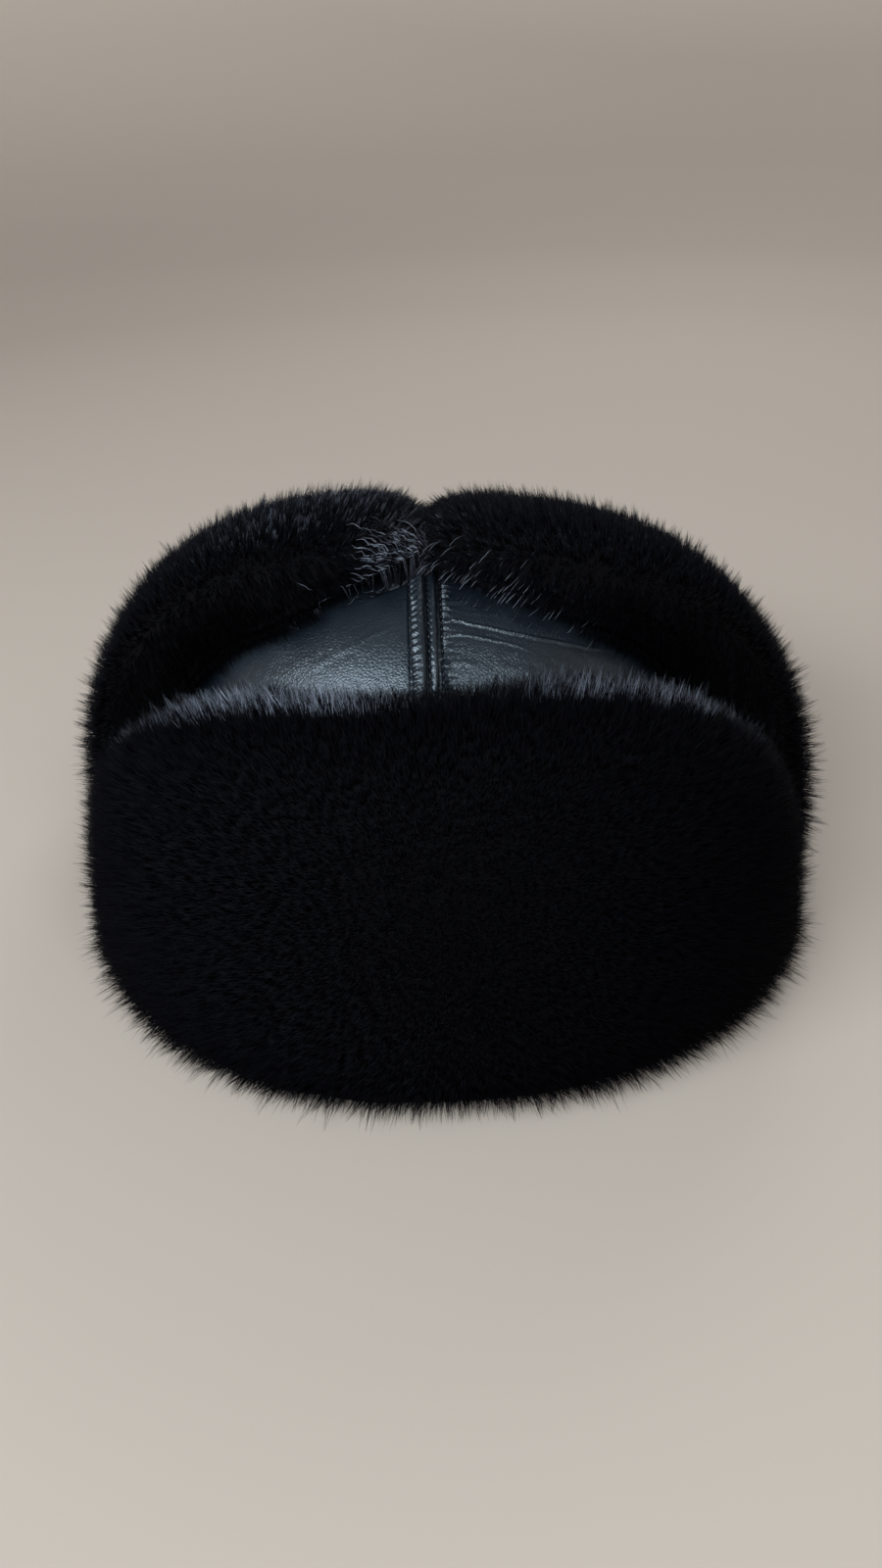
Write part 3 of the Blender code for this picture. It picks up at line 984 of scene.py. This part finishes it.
def right_flap_highlight(roots, up):
    """Painted highlight on the right flap's pile: along its front edge, over its end and on top.
    """
    edge = 0.45 * turned_down(roots, up) * (1 - ramp(roots[:, 0], 0.02, 0.06))
    end = 0.35 * (1 - ramp(roots[:, 0], 0.004, 0.022)) * (1 - ramp(roots[:, 1], -0.035, 0.0))
    return np.maximum(np.maximum(edge, end), 0.2 * ramp(up[:, 2], 0.5, 0.9))


def combed_end(roots, up):
    """The lower half of the left flap's end."""
    end = ramp(roots[:, 0], -0.040, -0.012) * (1 - ramp(roots[:, 1], -0.035, 0.0))
    return end * (1 - ramp(up[:, 2], 0.4, 0.9))


def combed_face(roots, up):
    """The part of that end nearest to the seam, without its lower edge."""
    face = ramp(facing_out(roots, up), 0.5, 0.85)
    return combed_end(roots, up) * face * ramp(roots[:, 0], -0.031, -0.018)


def pressed_left(roots, up):
    """Where the left flap's pile lies flat: turned down or combed."""
    return np.maximum(turned_down(roots, up), combed_end(roots, up))


def painted_highlight_edge(roots, up):
    """The part of the band along a flap's front edge that is near the seam, where strands greyed
    by a painted highlight lie.
    """
    near_edge = 1 - ramp(facing_out(roots, up), 0.35, 0.9)
    near_seam = 1 - ramp(np.abs(roots[:, 0] - SEAM), 0.022, 0.058)
    return turned_down(roots, up) * near_edge * near_seam


def lower_edge(roots, up):
    """The edge of a flap where it meets the leather in front."""
    on_edge = 1 - ramp(np.abs(facing_out(roots, up)), 0.35, 0.75)
    near_seam = 1 - ramp(np.abs(roots[:, 0] - SEAM), 0.055, 0.085)
    return on_edge * ramp(-up[:, 1], 0.2, 0.5) * ramp(roots[:, 2], 0.08, 0.09) * near_seam


def up_the_side(side):
    """A flow that leads up a flap to its end, and turns down over the leather at its edge."""
    def flow(roots, up):
        lay = roots - np.array((side * 0.12, 0.005, 0.02))
        lay /= np.linalg.norm(lay, axis=1, keepdims=True)
        edge = ramp(np.abs(up[:, 1]), 0.25, 0.7) * ramp(roots[:, 2], 0.06, 0.09)
        if side < 0:
            combed = combed_end(roots, up)
            lay = lay * (1 - combed[:, None]) + np.array(COMBED) * combed[:, None]
            edge *= 1 - combed
        inward = np.full(len(up), -0.55 * side)
        down = np.stack([inward, 0.3 * np.sign(up[:, 1]), -np.ones(len(up))], axis=1)
        return lay * (1 - edge)[:, None] + 1.1 * down * edge[:, None]
    return flow


def lay_strands(name, pelt, count, seed, chosen, lead, reach, width, height, wave, hug, painted_sheen):
    """Long wavy strands over the pile, each a tapered three-sided strip of rings.

    They start where chosen says and run the way that lead gives. Strands that hug follow
    the pelt's surface, and the others lift off it a little.
    """
    draw = np.random.default_rng(seed)
    surface = surface_tree(pelt.data)
    places, normals = corners(pelt.data), corner_normals(pelt.data)
    likely = chosen(places, normals) ** 2 * ramp(-normals[:, 1], 0.0, 0.5)
    starts = draw.choice(len(places), size=count, p=likely / likely.sum())
    points, faces = [], []
    for start in starts:
        spot = places[start] + draw.normal(0, START_STRAY, 3)
        length = draw.uniform(0.6, 1.2) * reach
        swing = 700 * (spot[1] + spot[2]) + draw.uniform(0, 1.5)
        turn = draw.normal(0, 0.08)
        for i in range(STRAND_RINGS):
            if hug or i == 0:
                near, up, _, _ = surface.find_nearest(Vector(spot))
                spot, up = np.array(near), np.array(up)
            along = np.array(lead)
            along -= (along @ up) * up if hug else -0.35 * up
            along /= np.linalg.norm(along)
            beside = np.cross(up, along)
            lift = height * (0.75 + 0.25 * math.sin(math.pi * (i + 1) / STRAND_RINGS))
            middle = spot + up * lift
            thick = width / 2 * (0.2 + 0.8 * math.sin(math.pi * (i + 0.7) / STRAND_RINGS))
            for a in RING_CORNERS:
                points.append(tuple(middle + thick * (math.cos(a) * beside + math.sin(a) * up)))
            heading = along + (turn + wave * math.sin(swing + i * 1.1)) * beside
            spot = spot + heading * length / (STRAND_RINGS - 1)
    for base in range(0, len(points), 3 * STRAND_RINGS):
        last = base + 3 * (STRAND_RINGS - 1)
        for ring in range(base, last, 3):
            for k in range(3):
                a, b = ring + k, ring + (k + 1) % 3
                faces.append((a, b, b + 3, a + 3))
        faces.append((base + 2, base + 1, base))
        faces.append((last, last + 1, last + 2))
    strand_mesh = bpy.data.meshes.new(name)
    strand_mesh.from_pydata(points, [], faces)
    # Painted sheen: some strands are greyed at random, as if they caught the light, and each
    # greys more towards its end.
    shade = np.repeat(0.3 + painted_sheen * draw.random(count) ** 1.5, 3 * STRAND_RINGS)
    shade *= np.tile(np.repeat(np.linspace(0.7, 1.0, STRAND_RINGS), 3), count)
    tones = strand_mesh.attributes.new("tip", "FLOAT", "POINT")
    tones.data.foreach_set("value", shade.astype(np.float32))
    strand_mesh.materials.append(mink)
    strand_mesh.shade_smooth()
    strands = bpy.data.objects.new(name, strand_mesh)
    bpy.context.scene.collection.objects.link(strands)
    only(strands)
    bpy.ops.object.mode_set(mode="EDIT")
    bpy.ops.mesh.select_all(action="SELECT")
    bpy.ops.mesh.normals_make_consistent(inside=False)
    bpy.ops.object.mode_set(mode="OBJECT")
    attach(strands, "root")


for name, side, seed, painted_highlight_share, flat in (
    ("ear_flap_left", -1, 21, left_flap_highlight, pressed_left),
    ("ear_flap_right", 1, 22, right_flap_highlight, turned_down),
):
    flap_pelt = make_pelt(name, name + "_pelt")
    grow_fur(name + "_fur", flap_pelt, 41000, seed, up_the_side(side), painted_highlight_share, flat=flat)
    # A painted highlight greys the fringe's tips near the seam: none on the left flap, most on
    # the right.
    pale = 0.2 + 0.2 * side
    grow_fur(
        name + "_fringe",
        flap_pelt,
        1500,
        seed + 50,
        one_way((-0.5 * side, -0.7, -0.5)),
        lambda roots, up: pale * (1 - ramp(np.abs(roots[:, 0]), 0.02, 0.06)),
        flat=alike(1.0),
        where=lower_edge,
        length=0.0062,
    )
    # The left flap's combed strands, greyed by a painted sheen.
    if side < 0:
        lay_strands(
            name + "_strands", flap_pelt, 700, 61, combed_face, COMBED,
            reach=0.0054, width=0.00022, height=0.0050, wave=0.08, hug=True, painted_sheen=0.55,
        )
    # Strands along each flap's front edge near the seam, greyed by a painted highlight.
    count, lead = (440, (-0.7, -0.3, -0.64)) if side > 0 else (90, (0.9, -0.15, -0.4))
    lay_strands(
        name + "_edge", flap_pelt, count, 62, painted_highlight_edge, lead,
        reach=0.005, width=0.00018, height=0.0040, wave=0.03, hug=side < 0, painted_sheen=0.42,
    )


# The nape flap: the back panel, of the same pelt on a lower backing. It is sewn to the rim
# behind and turned up like the visor, and a painted highlight greys its tips along the top edge.
def nape_top_highlight(roots, up):
    """Painted highlight along the nape flap's top edge."""
    return 0.55 * ramp(up[:, 2], 0.45, 0.75) * ramp(-up[:, 1], -0.5, 0.0)


nape_pelt = make_pelt("nape_flap", "nape_flap_pelt")
nape_flow = away_from((0.0, 0.135, 0.0), (0.6, 1.0, 1.0))
grow_fur("nape_flap_fur", nape_pelt, 25000, 31, nape_flow, nape_top_highlight)
